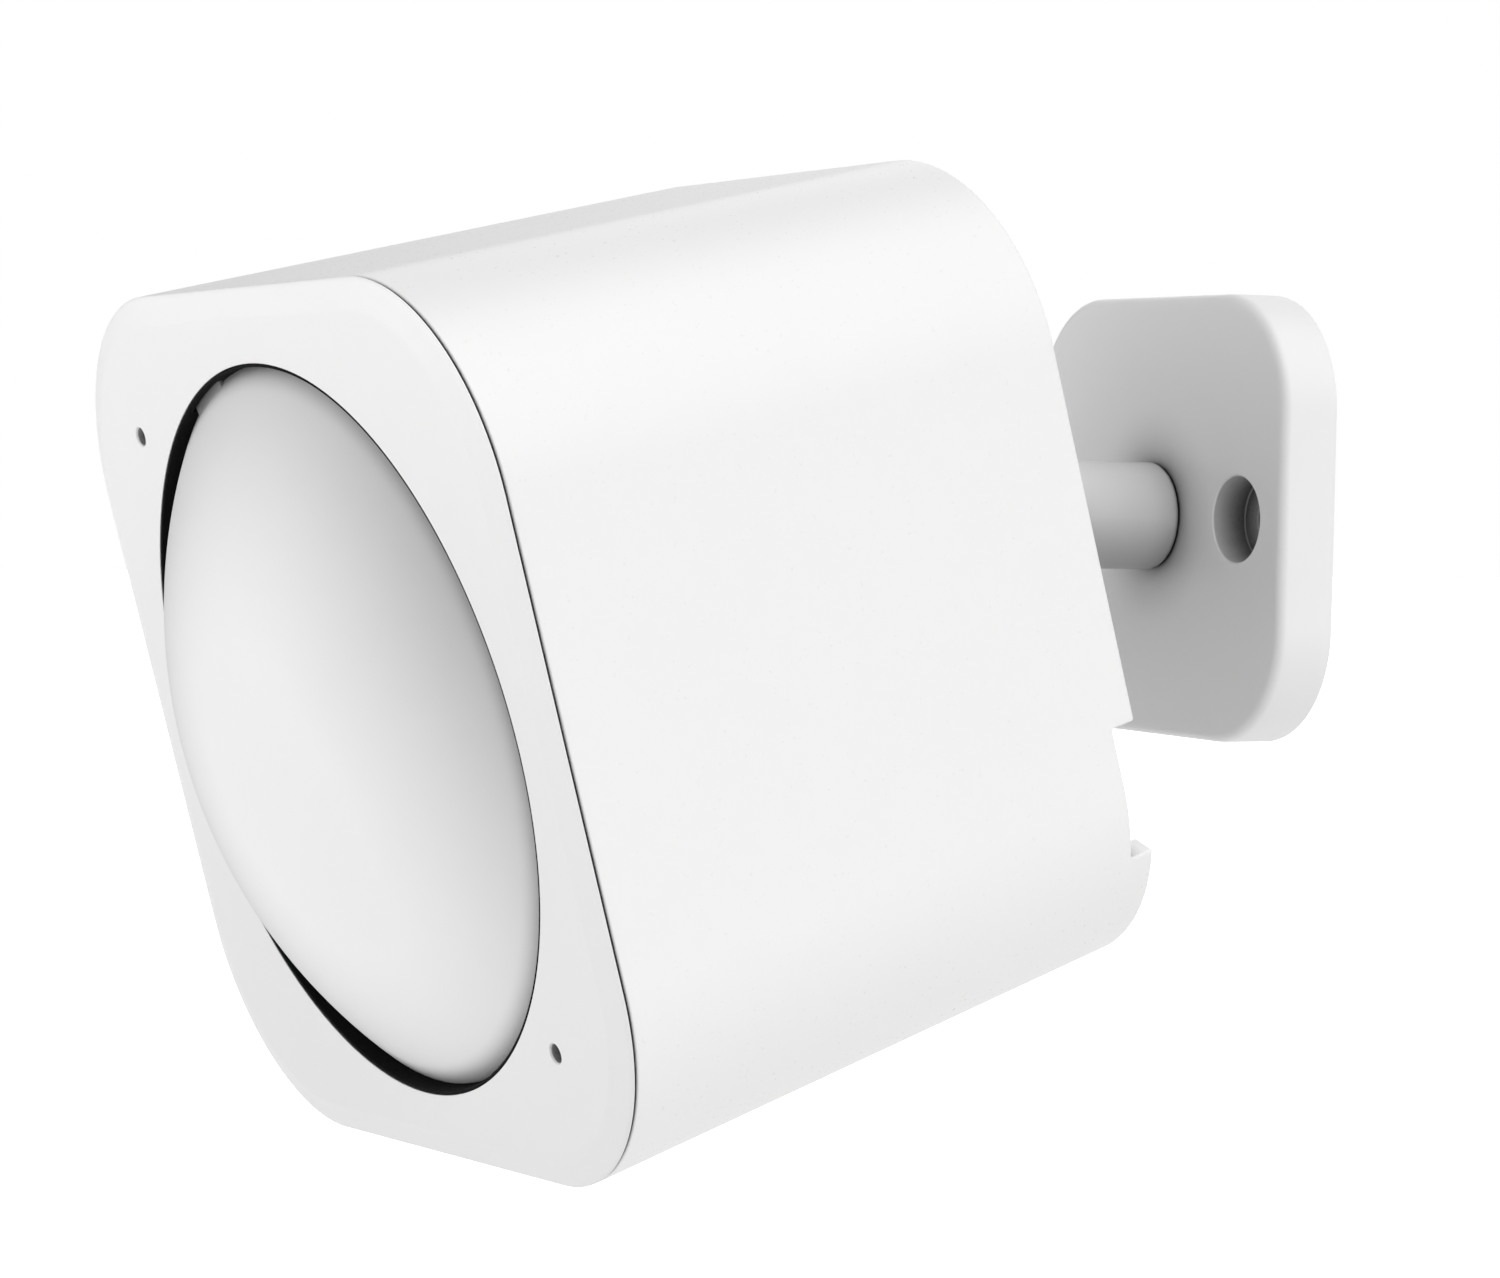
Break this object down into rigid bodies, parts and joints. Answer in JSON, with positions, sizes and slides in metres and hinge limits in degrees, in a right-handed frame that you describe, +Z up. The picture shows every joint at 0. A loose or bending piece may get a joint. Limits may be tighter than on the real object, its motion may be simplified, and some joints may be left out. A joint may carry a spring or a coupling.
{
  "type": "baby monitor motion sensor",
  "caption": "Wall-mounted nursery monitor head: tapered rounded-square white housing, milky domed lens, pinhole microphone, on a ball joint and screw-on plate.",
  "frame": {"origin": "centre of the wall plate, on its back face where it meets the wall", "axes": "+Y into the wall, -Y out into the room, +Z up, +X along the line of the two wall screws"},
  "size_m": [0.0716, 0.0918, 0.0787],
  "materials": {
    "shell_white": "satin white moulded plastic",
    "bezel_white": "satin white moulded plastic",
    "dome_milky": "milky translucent plastic, fine satin",
    "gasket_black": "matt black elastomer",
    "mount_white": "satin white moulded plastic",
    "stud_white": "white coated metal, satin",
    "black_plastic": "matt black plastic",
    "grey_plastic": "matt grey plastic",
    "liner_nylon": "natural nylon",
    "screw_steel": "zinc plated steel",
    "can_steel": "nickel plated steel",
    "pcb_green": "solder-masked board",
    "chip_black": "moulded epoxy",
    "window_dark": "dark infrared window",
    "clear_plastic": "clear acrylic",
    "flex_amber": "polyimide film",
    "connector_ivory": "ivory moulded plastic",
    "cell_wrap": "plastic sleeve, steel ends",
    "spring_nickel": "nickel plated spring steel",
    "switch_metal": "stamped tin-plated steel"
  },
  "bodies": {
    "wall_mount": {"wall_plate": "mount_white", "ball_stud": "stud_white", "stud_screw": "screw_steel"},
    "pan_liner": {"friction_liner": "liner_nylon"},
    "swivel": {"swivel_stalk": "mount_white"},
    "nut": {"clamp_nut": "mount_white"},
    "head": {"swivel_retainer": "screw_steel", "retainer_screws": "screw_steel", "outer_sleeve": "shell_white", "front_bezel": "bezel_white", "dome_lens": "dome_milky", "lens_gasket": "gasket_black", "light_shroud": "black_plastic", "shroud_screws": "screw_steel", "sensor_board": "pcb_green", "sensor_screws": "screw_steel", "pir_sensor": "can_steel", "pir_window": "window_dark", "mic_boot": "gasket_black", "mic_capsule": "can_steel", "light_pipe": "clear_plastic", "status_led": "connector_ivory", "corner_boards": "pcb_green", "rear_cover": "shell_white", "case_screws": "screw_steel", "main_board": "pcb_green", "board_screws": "screw_steel", "mcu_chip": "chip_black", "radio_module": "switch_metal", "flex_connectors": "connector_ivory", "flex_cable": "flex_amber", "usb_socket": "switch_metal", "tact_switch": "black_plastic", "slide_switch": "switch_metal", "battery_tray": "grey_plastic", "tray_screws": "screw_steel", "battery_cell": "cell_wrap", "battery_contacts": "spring_nickel", "battery_spring": "spring_nickel"},
    "button": {"pair_button": "grey_plastic"},
    "plunger": {"tact_plunger": "black_plastic"},
    "knob": {"switch_knob": "black_plastic"},
    "door": {"battery_door": "shell_white"}
  },
  "joints": [
    {"name": "pan", "type": "hinge", "parent": "wall_mount", "child": "pan_liner", "pos_m": [0, -0.01907, 0], "axis": [0, 0, 1], "range_deg": [-21, 10]},
    {"name": "tilt", "type": "hinge", "parent": "pan_liner", "child": "swivel", "pos_m": [0, -0.01907, 0], "axis": [0.9955, 0.0945, 0], "range_deg": [-34, 3]},
    {"name": "clamp_nut_turn", "type": "hinge", "parent": "swivel", "child": "nut", "pos_m": [0, -0.01907, 0], "axis": [0.091, -0.9594, -0.2669], "range_deg": [0, 60]},
    {"name": "head_roll", "type": "hinge", "parent": "swivel", "child": "head", "pos_m": [0.00182, -0.03826, -0.00534], "axis": [0.091, -0.9594, -0.2669], "range_deg": [-90, 90]},
    {"name": "pair_button_press", "type": "slide", "parent": "head", "child": "button", "axis": [0.091, -0.9594, -0.2669], "range_m": [0, 0.0005], "stiffness_N_per_m": 800},
    {"name": "tact_plunger_press", "type": "slide", "parent": "head", "child": "plunger", "axis": [0.091, -0.9594, -0.2669], "range_m": [0, 0.0006]},
    {"name": "power_switch_slide", "type": "slide", "parent": "head", "child": "knob", "axis": [0.9958, 0.0885, 0.0214], "range_m": [0, 0.002]},
    {"name": "battery_door_lift", "type": "slide", "parent": "head", "child": "door", "axis": [-0.091, 0.9594, 0.2669], "range_m": [0, 0.008]}
  ],
  "couplings": [
    {"joint": "tact_plunger_press", "follows": "pair_button_press", "ratio": 1}
  ]
}
